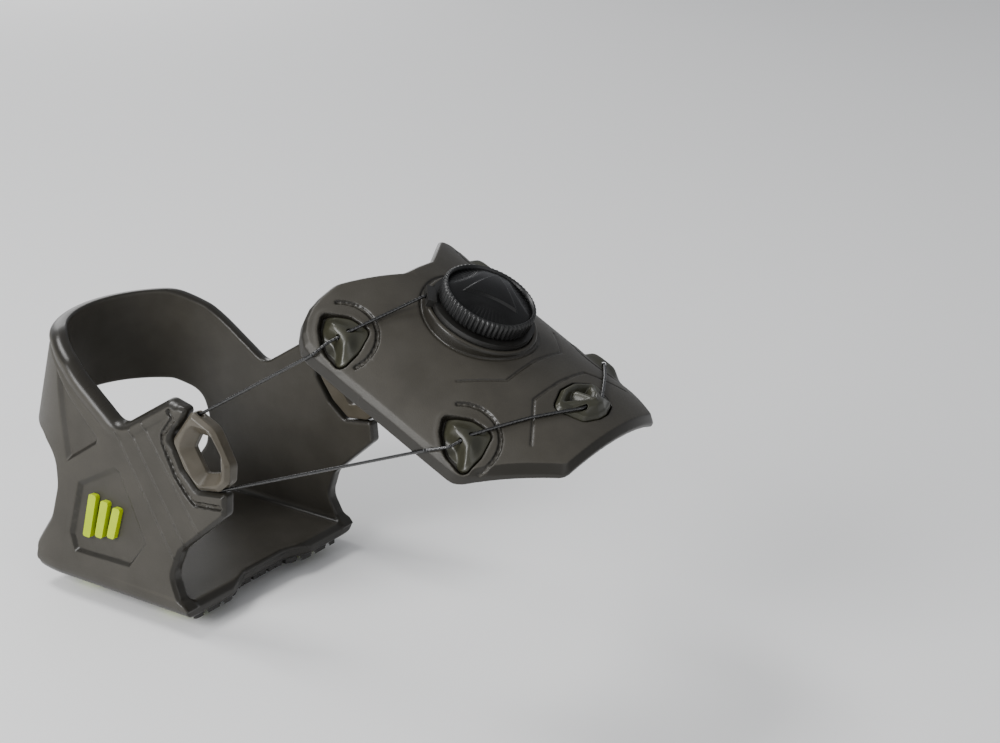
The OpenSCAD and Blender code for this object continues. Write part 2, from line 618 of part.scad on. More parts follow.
heel_cup();
tread();
stud_sockets();
stud_collars();
stud_cores();
stud_tips();
lace_guide_right();
lace_guide_left();
guide_lace_right();
guide_lace_left();
badge_right();
badge_left();
upper_lace_right();
upper_lace_left();
lower_lace_right();
lower_lace_left();
shield();
rear_pocket_right();
rear_pocket_left();
front_pocket_right();
front_pocket_left();
front_guide();
dial_base();
axle_screw();
shield_lace();
spool();
wound_lace();
lift_clip();
knob_core();
pawl_ring();
knob_grip();
knob_cap();
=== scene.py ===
"""Looks for the heel ice cleat: moulded cup, shield, lace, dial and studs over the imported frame."""
import math

import bpy
import numpy as np
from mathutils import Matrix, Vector


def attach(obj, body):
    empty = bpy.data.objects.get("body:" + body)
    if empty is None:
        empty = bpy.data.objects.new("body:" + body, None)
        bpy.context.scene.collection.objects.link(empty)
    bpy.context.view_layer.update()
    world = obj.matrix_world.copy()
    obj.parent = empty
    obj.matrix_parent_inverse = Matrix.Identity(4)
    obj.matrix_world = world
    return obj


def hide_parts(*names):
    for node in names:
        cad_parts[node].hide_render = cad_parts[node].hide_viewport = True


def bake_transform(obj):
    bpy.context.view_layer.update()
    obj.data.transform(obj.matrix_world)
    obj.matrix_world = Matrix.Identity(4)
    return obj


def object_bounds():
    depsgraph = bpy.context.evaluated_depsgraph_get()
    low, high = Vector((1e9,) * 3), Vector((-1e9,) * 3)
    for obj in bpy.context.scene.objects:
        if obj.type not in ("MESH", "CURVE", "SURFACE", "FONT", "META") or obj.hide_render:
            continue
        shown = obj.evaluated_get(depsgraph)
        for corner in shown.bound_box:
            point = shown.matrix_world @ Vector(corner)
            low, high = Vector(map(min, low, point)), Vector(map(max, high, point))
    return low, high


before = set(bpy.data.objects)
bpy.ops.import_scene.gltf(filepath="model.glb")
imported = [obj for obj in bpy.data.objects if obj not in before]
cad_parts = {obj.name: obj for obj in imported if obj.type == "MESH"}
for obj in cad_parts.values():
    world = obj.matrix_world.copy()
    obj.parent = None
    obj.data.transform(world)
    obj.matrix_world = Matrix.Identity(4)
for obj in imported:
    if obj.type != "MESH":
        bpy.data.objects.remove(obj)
CAD_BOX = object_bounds()

# ---- Dimensions shared with the part's source, in millimetres ------------------------------------

MM = 0.001
# The cup, and the leaning cone of its back strap
CUP_HALF_W, WALL, SEAT_T = 42.0, 5.0, 5.0
LEAN, BACK_LEAN = math.radians(5), math.radians(9)
STRAP_X, STRAP_Z = -14.0, 45.0
STRAP_R = CUP_HALF_W - STRAP_Z * math.tan(LEAN)
# The shield's place and slope in the part, and its arch
SHIELD_POS, SLOPE = np.array([116.7, 0.0, 101.4]), math.radians(27)
ARCH_R, SHIELD_T = 60.0, 4.2
# The pockets' places round the arch and along it, and the front guide's
TILT, REAR_S, FRONT_S, POCKET_DEPTH = math.radians(37), -20.5, 27.2, 2.6
GUIDE_S, GUIDE_HALF = 43.0, 4.6
# The lace: its turn in the cup's guide, its ends in a pocket and in the front guide, where it
# crosses the shield's rim, its port in the dial and its coil
TURN_C, TURN_R, TURN_FROM, TURN_TO, LACE_IN = (41.5, 53.0), 12.0, 121.5, 292.0, -2.0
LACE_R, LACE_STEP, STRANDS, LAY = 0.5, 0.5, 6, 7.0
MOUTH_OUT, MOUTH_IN = (-1.2, -3.4, 1.2), (1.0, 3.6, 1.2)
GUIDE_MOUTH, GUIDE_MIDDLE = (GUIDE_S, -GUIDE_HALF, 1.3), (GUIDE_S, 0, 1.5)
REAR_RIM, FRONT_RIM = (-22.6, -43.0, -17.0), (21.3, -42.4, -17.2)
PORT, COIL_R, COIL_LAYERS = (-13.0, -12.35, 1.9), 5.53, (-1.33, -0.27)
# The dial's knob and cap
KNOB_R, CAP_R, CAP_TOP, GRIP_LOW, GRIP_HIGH, RIBS = 14.5, 13.2, 11.0, 2.9, 8.1, 60

# Outlines: corners in order, each with its radius. Half outlines are mirrored where they are used
CUP_SIDE = [(-28, -8, 0), (-34.4, -1.4, 3), (-34.8, 4.4, 3), (-26.6, 15.5, 10), (-23.8, 27, 10),
            (-25.2, 36, 8), (-34, 40.5, 6), (-62, 42, 0), (-62, 75, 0), (-30, 75, 12),
            (-18.8, 69.5, 12), (4, 52.9, 5), (24.6, 66.2, 3), (32.6, 64.4, 1.5), (31.2, 61.4, 1),
            (26, 54.3, 3), (31, 45, 3), (37, 39.6, 2), (48.4, 41.2, 1.2), (48.5, 34, 2),
            (30.6, 18.2, 5), (27, 9, 6), (30.4, 1.5, 3), (33.5, -2, 0), (33.5, -8, 0)]
SEAT_PLAN = [(29.7, -10, 4), (33.5, -19, 4), (33.5, -44, 0), (-30, -44, 0), (-36, -36, 3),
             (-36, -19, 4), (-30.7, -10, 4)]
TREAD_PLAN = [(27.2, -9.5, 2), (31, -18.5, 2), (31, -35.3, 1.5), (-26, -35.3, 1.5), (-26, -19, 2),
              (-25.7, -10, 2)]
# Recesses: corners in order with the bevel width of the edge that follows each
BADGE_FIELD = [(2.5, 39.8, 2.1), (-13.4, 31, 2.1), (-17.4, 12.7, 1.9), (-15, 6.6, 1.6),
               (9, 7.4, 0.8), (16.5, 17.2, 0.6), (4.8, 38.6, 1.2)]
ARM_FIELD = [(-25.4, 65.6, 2.4), (-18.6, 36.2, 1.1), (-5.2, 45.4, 0.9), (-5.0, 47.6, 0.6)]
MOULD_LINES = [((3.1, 51.5), (28.0, 15.5)), ((9.0, 53.6), (32.6, 20.4)),
               ((14.2, 57.0), (38.2, 26.2))]
NOTCH_LINE = [(25.5, 63), (27.2, 60.8), (23.2, 55.4), (22.9, 52.3), (28.6, 42.6), (33, 38),
              (36.3, 35.5), (46.4, 36.6)]
GUIDE_OUTLINE = [(32.6, 61.8, 1), (34.9, 65.2, 1.5), (43.8, 61.4, 6), (50.4, 51, 4),
                 (50.2, 45.4, 2), (46.2, 41.8, 2), (38.2, 40.7, 2), (32.2, 46, 3),
                 (27.3, 54.3, 2.5)]
GUIDE_WINDOW = [(36.4, 58.2, 1), (41, 58, 1.5), (45, 52.8, 1.5), (45.4, 46.9, 1), (39.2, 45.4, 1.5),
                (33.8, 53, 1.5)]
SHIELD_PLAN = [(-25.2, -6.5, 4), (-34.4, -25, 6), (-34.6, -42.2, 11), (33.5, -41.5, 7.5),
               (54.5, -23.3, 4)]
DECOR_LINES = [[(12.9, -25.2), (22, -14), (21.3, -0.1)],
               [(41.7, -25.8), (31.6, -13.2), (31.2, -0.1)]]
POCKET_PLAN = [(-9.6, 2.8, 1.6), (-2.6, 7.4, 6), (4.8, 8.2, 2.4), (7.3, 0.6, 8), (7.3, -7.2, 2.2),
               (-1.2, -5.8, 8), (-6.8, -1.6, 5)]
GUIDE_PLAN = [(33.5, -3, 3), (37.1, -11.4, 2.4), (46, -7.4, 2.6), (47.8, -2, 3)]
ARC_C, ARC_R = (-0.8, 0.7), 11.1

RELIEF_PITCH = 0.2
MITRE = 0.7071  # turns the sum of two distances into the distance to their 45 degree chamfer
FAR = 1e9

# ---- Plane outlines and distance fields ----------------------------------------------------------


def rounded(points, steps=5):
    """The outline with each corner turned into an arc; a point is (x, y, radius)."""
    out, count = [], len(points)
    for i, (x, y, r) in enumerate(points):
        p = np.array([x, y], float)
        if r <= 0:
            out.append(p)
            continue
        u = np.array(points[i - 1][:2]) - p
        w = np.array(points[(i + 1) % count][:2]) - p
        u, w = u / np.linalg.norm(u), w / np.linalg.norm(w)
        half = math.acos(max(-1, min(1, u @ w))) / 2
        centre = p + (u + w) / np.linalg.norm(u + w) * r / math.sin(half)
        a, b = p + u * r / math.tan(half) - centre, p + w * r / math.tan(half) - centre
        start = math.atan2(a[1], a[0])
        sweep = (math.atan2(b[1], b[0]) - start + math.pi) % (2 * math.pi) - math.pi
        for k in range(steps + 1):
            angle = start + sweep * k / steps
            out.append(centre + r * np.array([math.cos(angle), math.sin(angle)]))
    return np.array(out)


def mirrored(points):
    """A half outline with its mirror image across the middle plane."""
    return list(points) + [(x, -y, r) for x, y, r in reversed(points)]


def segment_distance(p, q, x, y):
    """Distance from (x, y) to the segment from p to q."""
    d = (q[0] - p[0], q[1] - p[1])
    t = np.clip(((x - p[0]) * d[0] + (y - p[1]) * d[1]) / (d[0] ** 2 + d[1] ** 2), 0, 1)
    return np.hypot(x - p[0] - t * d[0], y - p[1] - t * d[1])


def outline_distance(points, x, y):
    """Signed distance to a closed outline, negative inside."""
    x, y = np.broadcast_arrays(x, y)
    best = np.full(x.shape, FAR)
    inside = np.zeros(x.shape, bool)
    for p, q in zip(points, np.roll(points, -1, axis=0)):
        if np.hypot(*(q - p)) < 1e-6:
            continue
        best = np.minimum(best, segment_distance(p, q, x, y))
        if p[1] != q[1]:
            crosses = (p[1] > y) != (q[1] > y)
            inside ^= crosses & (x < (q[0] - p[0]) * (y - p[1]) / (q[1] - p[1]) + p[0])
    return np.where(inside, -best, best)


def bevelled(corners, x, y):
    """A recess with mitred bevels: 0 outside a convex outline, 1 past the bevel of every edge."""
    depth = np.ones(np.broadcast(x, y).shape)
    for i, (px, py, width) in enumerate(corners):
        qx, qy, _ = corners[(i + 1) % len(corners)]
        length = math.hypot(qx - px, qy - py)
        away = ((x - px) * (py - qy) + (y - py) * (qx - px)) / length
        depth = np.minimum(depth, np.clip(away / width, 0, 1))
    return depth


def mottled(x, y):
    """An uneven depth for moulded grooves, from 0.6 to 1."""
    return 0.8 + 0.2 * np.sin(2.9 * x + 1.6 * y) * np.sin(2.1 * y - 2.3 * x + 0.7)


def chain_distance(points, x, y):
    """Distance to an open chain of segments."""
    return np.minimum.reduce([segment_distance(p, q, x, y) for p, q in zip(points, points[1:])])


def smax(a, b, k):
    """The larger of two fields, rounded over a width k where they cross."""
    return np.maximum(a, b) + np.maximum(k - np.abs(a - b), 0) ** 2 / (4 * k)


def smin(a, b, k):
    """The smaller of two fields, rounded over a width k where they cross."""
    return -smax(-a, -b, k)


def step(low, high, x):
    """Smooth step from 0 at low to 1 at high; it falls when low is above high."""
    t = np.clip((x - low) / (high - low), 0, 1)
    return t * t * (3 - 2 * t)


def ridge(distance, width):
    """A smooth ridge: 1 at no distance, fading over the width."""
    return np.exp(-(distance / width) ** 2)


def lookup(table, low, at):
    """Rows of a relief sampled between columns: table is (nx, m), at is (ny, nz)."""
    f = np.clip((at - low) / RELIEF_PITCH, 0, table.shape[1] - 1.001)
    i = f.astype(int)
    f = (f - i)[None]
    return table[:, i] * (1 - f) + table[:, i + 1] * f


def capsule(p, q, r, x, y, z):
    """Distance to a rod from p to q of radius r."""
    d = np.array(q, float) - np.array(p, float)
    t = np.clip(((x - p[0]) * d[0] + (y - p[1]) * d[1] + (z - p[2]) * d[2]) / (d @ d), 0, 1)
    return np.sqrt((x - p[0] - t * d[0]) ** 2 + (y - p[1] - t * d[1]) ** 2
                   + (z - p[2] - t * d[2]) ** 2) - r


# ---- Meshes from fields --------------------------------------------------------------------------

CORNERS = [(i, j, k) for i in (0, 1) for j in (0, 1) for k in (0, 1)]
EDGES = [(a, b) for a in range(8) for b in range(a + 1, 8)
         if sum(abs(CORNERS[a][n] - CORNERS[b][n]) for n in range(3)) == 1]


def surface(field, low, pitch):
    """Points and quads where the field crosses zero, one point in each cell it crosses."""
    inside = field < 0
    shape = tuple(n - 1 for n in field.shape)
    part = [inside[i:i + shape[0], j:j + shape[1], k:k + shape[2]] for i, j, k in CORNERS]
    total = np.zeros(shape, np.int8)
    for p in part:
        total += p
    cells = np.argwhere((total > 0) & (total < 8))
    value = np.stack([field[cells[:, 0] + i, cells[:, 1] + j, cells[:, 2] + k]
                      for i, j, k in CORNERS], 1)
    point, hits = np.zeros((len(cells), 3)), np.zeros(len(cells))
    for a, b in EDGES:
        va, vb = value[:, a], value[:, b]
        hit = (va < 0) != (vb < 0)
        t = np.where(hit, va / np.where(hit, va - vb, 1), 0)[:, None]
        at = np.array(CORNERS[a]) + t * (np.array(CORNERS[b]) - np.array(CORNERS[a]))
        point += at * hit[:, None]
        hits += hit
    point = (point / hits[:, None] + cells) * pitch + np.array(low)
    number = np.full(shape, -1, np.int32)
    number[tuple(cells.T)] = np.arange(len(cells))
    quads = []
    for axis in range(3):
        u, v = (axis + 1) % 3, (axis + 2) % 3
        near = [slice(1, n - 1) for n in field.shape]
        near[axis] = slice(0, field.shape[axis] - 1)
        far = list(near)
        far[axis] = slice(1, field.shape[axis])
        a, b = inside[tuple(near)], inside[tuple(far)]
        at = np.argwhere(a != b)
        solid_first = a[tuple(at.T)]
        at = at + np.array([s.start for s in near])
        ring = []
        for du, dv in ((-1, -1), (0, -1), (0, 0), (-1, 0)):
            c = at.copy()
            c[:, u] += du
            c[:, v] += dv
            ring.append(number[tuple(c.T)])
        ring = np.stack(ring, 1)
        quads.append(np.where(solid_first[:, None], ring, ring[:, ::-1]))
    return point, np.concatenate(quads)


def mesh_object(name, points, faces, keep=1.0):
    """An object from points in millimetres and faces of equal size."""
    mesh = bpy.data.meshes.new(name)
    faces = np.asarray(faces, np.int32)
    size = faces.shape[1]
    mesh.vertices.add(len(points))
    mesh.vertices.foreach_set("co", (np.asarray(points) * MM).astype(np.float32).ravel())
    mesh.loops.add(faces.size)
    mesh.loops.foreach_set("vertex_index", faces.ravel())
    mesh.polygons.add(len(faces))
    mesh.polygons.foreach_set("loop_start", np.arange(0, faces.size, size, dtype=np.int32))
    mesh.polygons.foreach_set("loop_total", np.full(len(faces), size, np.int32))
    mesh.polygons.foreach_set("use_smooth", np.ones(len(faces), bool))
    mesh.update(calc_edges=True)
    mesh.validate()
    obj = bpy.data.objects.new(name, mesh)
    bpy.context.collection.objects.link(obj)
    if keep < 1:
        apply_modifier(obj, "DECIMATE", ratio=keep)
    return obj


def apply_modifier(obj, kind, **settings):
    """Replace an object's mesh by what the modifier makes of it."""
    modifier = obj.modifiers.new("m", kind)
    for key, value in settings.items():
        setattr(modifier, key, value)
    evaluated = obj.evaluated_get(bpy.context.evaluated_depsgraph_get())
    mesh = bpy.data.meshes.new_from_object(evaluated)
    obj.modifiers.clear()
    obj.data = mesh


def mark_polish_and_shade(obj, outward):
    """Store a mask of bevels and edges, which lean away from the main faces: a glossier mould finish
    there, and painted shade, a darker colour, in the shader.
    """
    count = len(obj.data.vertices)
    points, normals = np.empty(count * 3), np.empty(count * 3)
    obj.data.vertices.foreach_get("co", points)
    obj.data.vertices.foreach_get("normal", normals)
    points, normals = points.reshape(-1, 3) / MM, normals.reshape(-1, 3)
    facing = np.abs((outward(points) * normals).sum(1))
    level = (np.abs(normals[:, 2]) > 0.93) & (points[:, 2] < 2)
    mask = np.where(level, 0, 1 - step(0.84, 0.96, facing))
    polish_and_shade = obj.data.attributes.new("polish_and_shade", "FLOAT", "POINT")
    polish_and_shade.data.foreach_set("value", mask.astype(np.float32))


def axis_points(low, high, pitch):
    """Evenly spaced points from low to just past high."""
    return np.arange(low, high + pitch, pitch)


def detail(quick, full):
    return full


def meshed(make_field, pitch):
    """Points and quads of a field sampled at this pitch."""
    field, low = make_field(pitch)
    return surface(field, low, pitch)


def whole(half):
    """A field for y <= 0 together with its mirror image; the last layer lies at y = 0."""
    return np.concatenate([half, half[:, -2::-1]], 1)


def finish_piece(obj, body, nodes, material):
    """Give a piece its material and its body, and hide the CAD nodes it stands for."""
    obj.data.materials.clear()
    obj.data.materials.append(material)
    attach(obj, body)
    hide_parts(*nodes)


# ---- Frames --------------------------------------------------------------------------------------


def from_shield(p):
    """Points of the shield's frame in the part's."""
    p = np.asarray(p, float)
    c, s = math.cos(SLOPE), math.sin(SLOPE)
    return np.stack([p[..., 0] * c + p[..., 2] * s, p[..., 1],
                     -p[..., 0] * s + p[..., 2] * c], -1) + SHIELD_POS


def from_arch(s, t, p):
    """Points of a frame on the arch, at s along it and t round it, in the shield's."""
    p = np.asarray(p, float)
    return np.stack([s + p[..., 0], p[..., 1] * math.cos(t) - (ARCH_R + p[..., 2]) * math.sin(t),
                     p[..., 1] * math.sin(t) + (ARCH_R + p[..., 2]) * math.cos(t) - ARCH_R], -1)


def from_wall(p):
    """Points of the right wall's frame, with z outward, in the part's."""
    p = np.asarray(p, float)
    cos, sin = math.cos(LEAN), math.sin(LEAN)
    return np.stack([p[..., 0], -CUP_HALF_W + p[..., 1] * sin - p[..., 2] * cos,
                     p[..., 1] * cos + p[..., 2] * sin], -1)


def both_sides(points, quads):
    """A right-hand mesh and its mirror image, whose faces run the other way round."""
    return ("right", points, quads), ("left", points * np.array([1, -1, 1]), quads[:, ::-1])


# ---- Materials -----------------------------------------------------------------------------------


class Shader:
    """A node material with a few short ways to wire it."""

    def __init__(self, name):
        self.material = bpy.data.materials.new(name)
        self.material.use_nodes = True
        self.tree = self.material.node_tree
        self.bsdf = self.tree.nodes["Principled BSDF"]
        self.coordinates = self.add("ShaderNodeTexCoord").outputs["Object"]

    def add(self, kind, inputs=None, **settings):
        """A node with its settings and its inputs; an input is a value or a socket to link."""
        node = self.tree.nodes.new(kind)
        for key, value in settings.items():
            setattr(node, key, value)
        for key, value in (inputs or {}).items():
            self.set(node.inputs[key], value)
        return node

    def set(self, socket, value):
        if isinstance(value, bpy.types.NodeSocket):
            self.tree.links.new(value, socket)
        else:
            socket.default_value = value

    def scaled(self, factors):
        return self.add("ShaderNodeVectorMath", {0: self.coordinates, 1: factors},
                        operation="MULTIPLY").outputs[0]

    def noise(self, scale, detail=3.0, roughness=0.55, vector=None):
        return self.add("ShaderNodeTexNoise", {"Vector": vector or self.coordinates, "Scale": scale,
                                               "Detail": detail, "Roughness": roughness}).outputs[0]

    def ramp(self, value, low, high, out_low, out_high):
        """A value mapped from low and high to out_low and out_high, and held there beyond."""
        return self.add("ShaderNodeMapRange",
                        {0: value, 1: low, 2: high, 3: out_low, 4: out_high}).outputs[0]

    def math(self, operation, a, b):
        return self.add("ShaderNodeMath", {0: a, 1: b}, operation=operation).outputs[0]

    def mix(self, factor, a, b):
        """Two colours mixed: a mix node's colours are its inputs 6 and 7 and its output 2."""
        return self.add("ShaderNodeMix", {0: factor, 6: a, 7: b}, data_type="RGBA").outputs[2]

    def edges(self, low, high):
        """Near 1 on convex edges of a dense mesh."""
        return self.ramp(self.add("ShaderNodeNewGeometry").outputs["Pointiness"], low, high, 0, 1)

    def bump(self, height, distance):
        return self.add("ShaderNodeBump", {"Height": height, "Distance": distance,
                                           "Strength": 1.0}).outputs[0]

    def done(self, **values):
        """Set the shader's own inputs, written with _ for a space, and return the material."""
        for key, value in values.items():
            self.set(self.bsdf.inputs[key.replace("_", " ")], value)
        return self.material


def colour(r, g, b):
    return (r, g, b, 1.0)


def tinted(base, factor):
    """A colour made lighter or darker by a factor."""
    return tuple(min(1, c * factor) for c in base[:3]) + (1,)


POLISHED_ROUGHNESS = 0.26


def moulded_rubber(name, dark, light, roughness, wear, grain=0.00004, polish_and_shade_strength=0.0):
    """Elastomer with a fine eroded mould texture, faint mottling, and lighter rubbed edges.

    With a strength above 0, the surface is smoother and glossier where the mask is 1, and there it is
    painted darker as painted shade.
    """
    s = Shader(name)
    mottling = s.noise(90, 4)
    fine = s.noise(2600, 2, 0.6)
    cloud = s.noise(22, 3)
    base = s.mix(s.ramp(mottling, 0.35, 0.65, 0, 1), dark, light)
    rubbed = s.math("MULTIPLY", s.edges(0.505, 0.56), wear)
    base = s.mix(rubbed, base, tinted(light, 1.7))
    rough = s.ramp(cloud, 0.35, 0.65, roughness - 0.04, roughness + 0.04)
    speckle = s.ramp(fine, 0.3, 0.7, -0.05, 0.06)
    relief = fine
    if polish_and_shade_strength:
        mask = s.add("ShaderNodeAttribute", attribute_name="polish_and_shade").outputs["Fac"]
        # smooth carries the mask both into the glossier roughness and into the painted shade below
        smooth = s.math("MULTIPLY", mask, polish_and_shade_strength)
        speckle = s.math("MULTIPLY", speckle, s.math("SUBTRACT", 1.0, mask))
        # Painted shade: the masked bevels and edges are painted darker, to 35 % of the dark tone
        base = s.mix(smooth, base, tinted(dark, 0.35))
        rough = s.math("ADD", rough, s.math("MULTIPLY", smooth, POLISHED_ROUGHNESS - roughness))
        relief = s.math("MULTIPLY", fine, s.math("SUBTRACT", 1.0, mask))
    return s.done(Base_Color=base, Roughness=s.math("ADD", rough, speckle),
                  Normal=s.bump(relief, grain), Specular_IOR_Level=0.35)


def plain_plastic(name, dark, light, roughness, grain=0.00002, coat=0.0, specular=0.5):
    """Injection-moulded plastic: faint mottling, fine texture and a little flow variation."""
    s = Shader(name)
    fine = s.noise(3200, 2)
    base = s.mix(s.ramp(s.noise(140, 3), 0.35, 0.65, 0, 1), dark, light)
    rough = s.ramp(s.noise(400, 4), 0.3, 0.7, roughness - 0.05, roughness + 0.05)
    return s.done(Base_Color=base, Roughness=rough, Normal=s.bump(fine, grain), Coat_Weight=coat,
                  Coat_Roughness=0.08, Specular_IOR_Level=specular)


def turned_metal(name, dark, light, roughness):
    """Metal with fine turning marks and light scratches."""
    s = Shader(name)
    marks = s.noise(1, 3, 0.7, s.scaled((900, 900, 9000)))
    scratches = s.noise(1, 2, 0.6, s.scaled((400, 6000, 400)))
    base = s.mix(s.ramp(marks, 0.3, 0.7, 0, 1), dark, light)
    rough = s.ramp(scratches, 0.3, 0.7, roughness - 0.08, roughness + 0.1)
    return s.done(Base_Color=base, Roughness=rough, Metallic=1.0, Normal=s.bump(marks, 0.00001))


# The elastomer's bevels and edges get a glossier finish and painted shade, at strength 0.8
elastomer = moulded_rubber("elastomer", colour(0.035, 0.0315, 0.0245), colour(0.044, 0.040, 0.032),
                           0.5, wear=0.2, polish_and_shade_strength=0.8)
tread_rubber = moulded_rubber("tread_rubber", colour(0.018, 0.018, 0.018),
                              colour(0.030, 0.029, 0.027), 0.55, wear=0.35, grain=0.00005)
lime = plain_plastic("lime", colour(0.38, 0.50, 0.0), colour(0.44, 0.57, 0.0), 0.5, specular=0.15)
guide_plastic = plain_plastic("guide_plastic", colour(0.052, 0.044, 0.030),
                              colour(0.070, 0.060, 0.043), 0.38, coat=0.05)
pocket_plastic = plain_plastic("pocket_plastic", colour(0.024, 0.0235, 0.014),
                               colour(0.036, 0.035, 0.022), 0.36, coat=0.05)
housing_plastic = plain_plastic("housing_plastic", colour(0.012, 0.0115, 0.0105),
                                colour(0.018, 0.0175, 0.016), 0.34, specular=0.35)
grip_rubber = plain_plastic("grip_rubber", colour(0.007, 0.007, 0.007), colour(0.012, 0.012, 0.012),
                            0.34, grain=0.00003, specular=0.4)
gloss_cap = plain_plastic("gloss_cap", colour(0.005, 0.005, 0.005), colour(0.008, 0.008, 0.008),
                          0.24, grain=0.00001, specular=0.22)
steel = turned_metal("steel", colour(0.42, 0.42, 0.41), colour(0.68, 0.67, 0.65), 0.3)
carbide = turned_metal("carbide", colour(0.26, 0.26, 0.27), colour(0.46, 0.46, 0.47), 0.36)
lace_metal = turned_metal("lace_metal", colour(0.04, 0.04, 0.04), colour(0.11, 0.11, 0.11), 0.27)

# ---- Heel cup ------------------------------------------------------------------------------------


def strap_axes(x, z):
    """Distances ahead of the back strap's leaning axis and up along it."""
    dx, dz = x - STRAP_X, z - STRAP_Z
    cos, sin = math.cos(BACK_LEAN), math.sin(BACK_LEAN)
    return dx * cos - dz * sin, dx * sin + dz * cos


def cup_field(pitch):
    """The cup's right half: side walls and back strap, seat, relief, and the tread's recess."""
    x, z = axis_points(-60, 50.5, pitch), axis_points(-6, 77, pitch)
    y = -axis_points(0, 43.5, pitch)[::-1]
    gx, gy, gz = np.ix_(x, y, z)
    tan, cos, sin = math.tan(LEAN), math.cos(LEAN), math.sin(LEAN)
    # Outward distance from the outer face: flat at the sides, a leaning cone behind
    flat = (-gy - (CUP_HALF_W - gz * tan)) * cos
    back_x, back_z = strap_axes(gx, gz)
    cone = (np.sqrt(back_x ** 2 + gy ** 2) - (STRAP_R - back_z * tan)) * cos
    face = np.where(back_x >= 0, flat, cone).astype(np.float32)

    side = outline_distance(rounded(CUP_SIDE), x[:, None], z[None, :]).astype(np.float32)
    # The rolled upper rim of the strap and its arms
    upper = step(47, 54, z)[None] * step(31, 27, x)[:, None]
    rim = upper * (0.5 * ridge(side + 2.6, 1.9) - 0.3 * ridge(side + 5.4, 0.7))
    corner = 1.2 + 2.6 * upper
    # Details on the side wall, over its length and the distance up it
    up = axis_points(-6, 80, RELIEF_PITCH)
    u, v = x[:, None], up[None, :]
    depth = np.clip(1.2 - (u + 10) / 36, 0.3, 1.2)
    depth = depth + 0.5 * step(15, 8, v) * step(-12, 6, u) * step(13, 8, u)
    relief = -depth * bevelled(BADGE_FIELD, u, v)
    relief -= 1.15 * bevelled(ARM_FIELD, u, v)
    for p, q in MOULD_LINES:
        relief += 0.38 * ridge(segment_distance(p, q, u, v), 0.27)
    relief -= 1.2 * step(0.95, 0.6, chain_distance(NOTCH_LINE, u, v)) * mottled(u, v)
    far = (gy + CUP_HALF_W) * sin + gz * cos
    relief = lookup(relief.astype(np.float32), up[0], far[0])
    face_out = face - relief - rim[:, None, :].astype(np.float32)

    side3, corner3 = side[:, None, :], corner[:, None, :].astype(np.float32)
    wall = smax(side3, face_out, corner3)
    wall = np.maximum(wall, (side3 + face_out + 1.3) * MITRE)
    wall = smax(wall, -(face + WALL * cos), 1.2)
    wall = np.maximum(wall, -gz - 1)
    plan = outline_distance(rounded(mirrored(SEAT_PLAN)), x[:, None], y[None, :])[:, :, None]
    seat = smax(smax(gz + 0 * gx, plan, 1.2), side3, 0.8)
    body = smin(wall, seat, 2.6)
    # The seat's outline bounds only what lies below the seat's top
    body = smax(body, plan - 90 * step(-1.6, 0.8, gz), 0.9)
    body = smax(body, smax(face_out, -(gz + SEAT_T), 7.0), 0.3)
    body = smax(body, np.maximum(-(gz + SEAT_T), (plan - gz - SEAT_T + 1.4) * MITRE), 0.4)
    tread = outline_distance(rounded(mirrored(TREAD_PLAN)), x[:, None], y[None, :])[:, :, None]
    body = np.maximum(body, -np.maximum(tread - 0.1, gz + SEAT_T - 1.5))
    return whole(body.astype(np.float32)), (x[0], y[0], z[0])


def cup_outward(points):
    """The direction the cup's outer wall faces near each point."""
    side = np.where(points[:, 1] > 0, 1, -1)
    back_x, _ = strap_axes(points[:, 0], points[:, 2])
    reach = np.hypot(back_x, points[:, 1])
    cos, sin = math.cos(LEAN), math.sin(LEAN)
    behind = back_x < 0
    nx = np.where(behind, back_x / reach * cos, 0)
    ny = np.where(behind, points[:, 1] / reach * cos, side * cos)
    tilt = np.where(behind, BACK_LEAN, 0)
    return np.stack([nx * np.cos(tilt) + sin * np.sin(tilt), ny,
                     sin * np.cos(tilt) - nx * np.sin(tilt)], -1)


points, quads = meshed(cup_field, detail(0.8, 0.38))
cup = mesh_object("moulded_cup", points, quads, keep=detail(1, 0.36))
mark_polish_and_shade(cup, cup_outward)
finish_piece(cup, "heel_cup", ["heel_cup"], elastomer)

# ---- Shield --------------------------------------------------------------------------------------


def recess(outline):
    """A pocket with steep walls just inside an outline, from the distance to the outline."""
    return -POCKET_DEPTH * np.clip((0.1 - outline) / 0.4, 0, 1)


